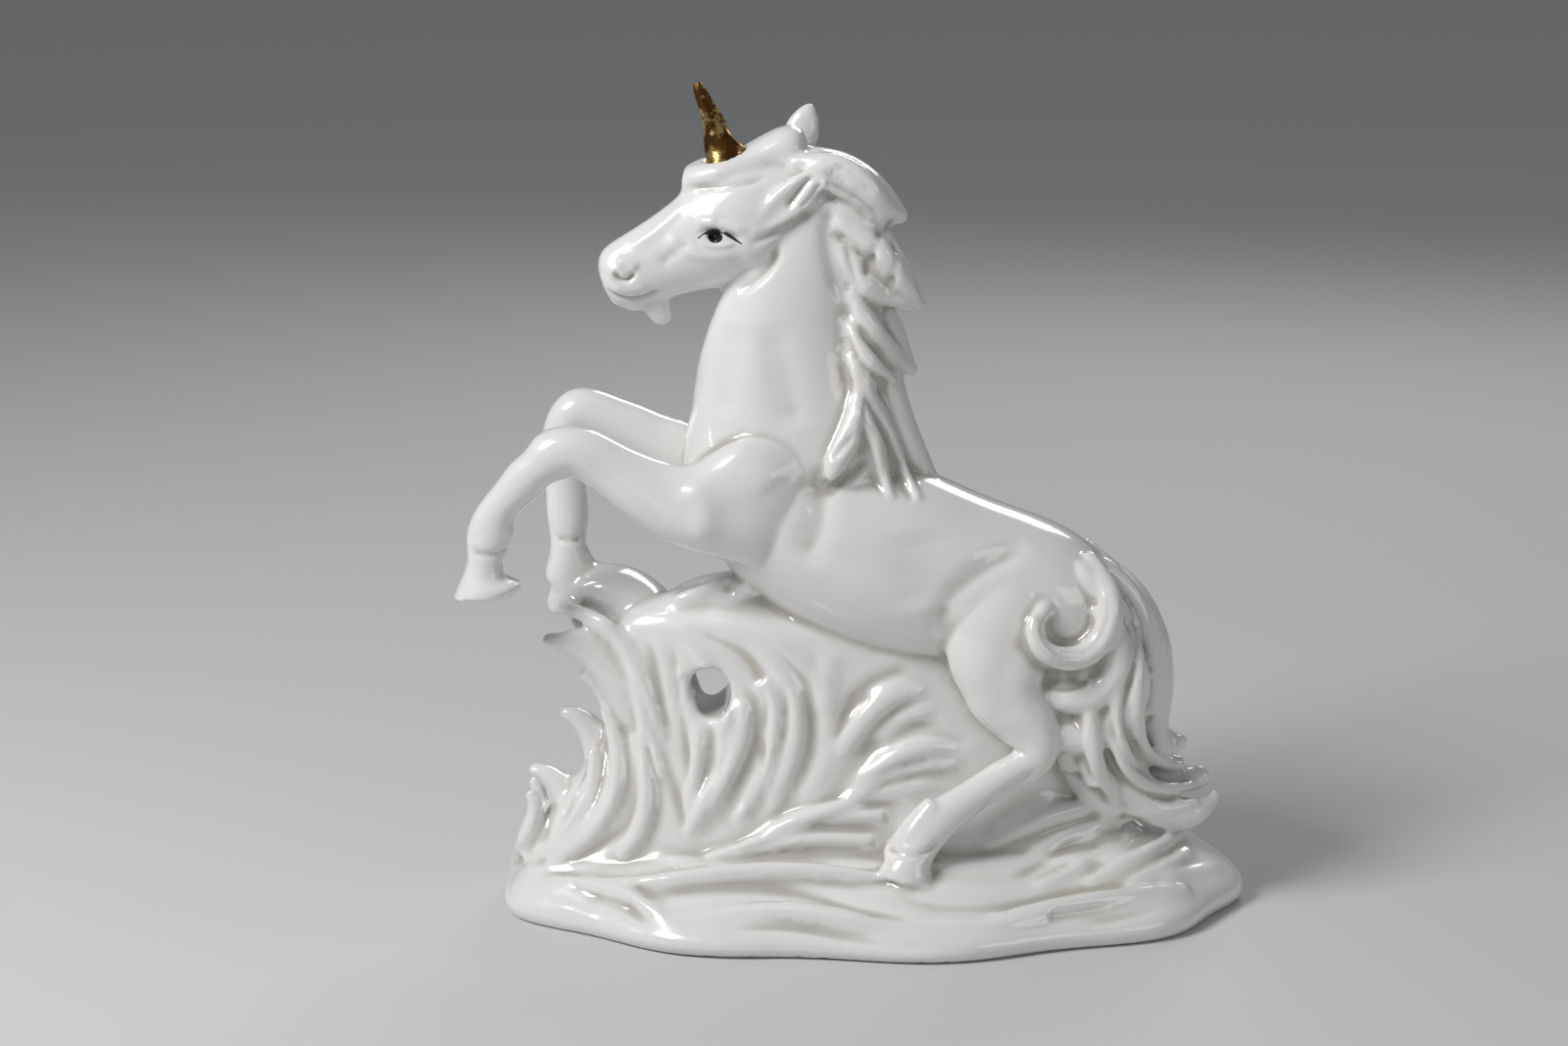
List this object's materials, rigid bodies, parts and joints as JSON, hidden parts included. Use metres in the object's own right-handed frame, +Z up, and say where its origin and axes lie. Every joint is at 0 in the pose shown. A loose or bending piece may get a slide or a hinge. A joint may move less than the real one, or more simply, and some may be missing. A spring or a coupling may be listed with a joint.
{
  "type": "unicorn figurine",
  "caption": "Free-standing glazed porcelain figurine of a rearing unicorn with a gilded horn, on a breaking wave with a flat rounded foot.",
  "frame": {"origin": "middle of the flat underside of the foot", "axes": "+Z up, the head looks along -X, +Y is the far side from the one pictured"},
  "size_m": [0.1833, 0.0942, 0.1905],
  "materials": {
    "porcelain": "clear glossy glaze over white porcelain",
    "gilding": "worn gold lustre over the glaze",
    "eye_paint": "black overglaze paint"
  },
  "bodies": {
    "root": {"base": "porcelain", "wave": "porcelain", "torso": "porcelain", "neck": "porcelain", "head": "porcelain", "eye_near": "eye_paint", "eye_far": "eye_paint", "horn": "gilding", "forelock": "porcelain", "ear_near": "porcelain", "ear_far": "porcelain", "beard": "porcelain", "mane": "porcelain", "foreleg_near": "porcelain", "foreleg_far": "porcelain", "hind_leg_near": "porcelain", "hind_leg_far": "porcelain", "tail": "porcelain", "tail_curl": "porcelain"}
  },
  "joints": []
}
